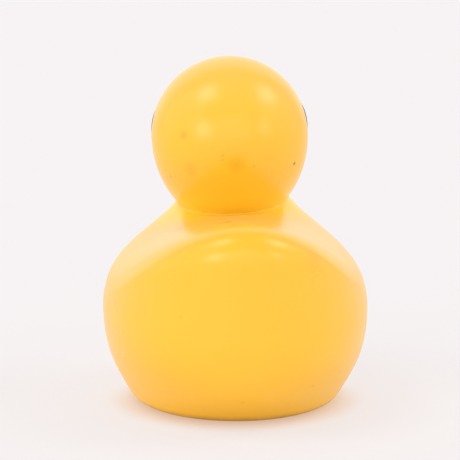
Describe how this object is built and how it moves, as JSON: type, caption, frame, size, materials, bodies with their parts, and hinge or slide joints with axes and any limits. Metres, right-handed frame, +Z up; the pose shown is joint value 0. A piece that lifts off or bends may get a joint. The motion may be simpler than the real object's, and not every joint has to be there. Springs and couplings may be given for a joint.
{
  "type": "vinyl duck figure",
  "caption": "Hollow soft vinyl duck with a round head on a tight neck, an upturned tail, a flat bill, raised oval eyes and a flat base with a vent hole, for standing on a desk.",
  "frame": {"origin": "on the floor plane, under the middle of the duck's outline", "axes": "+Z up from the flat base to the crown, -Y to the bill, +Y to the tail, +X to the duck's left"},
  "size_m": [0.073, 0.0974, 0.0941],
  "materials": {
    "yellow_vinyl": "satin"
  },
  "bodies": {
    "root": {"duck": "yellow_vinyl"}
  },
  "joints": []
}
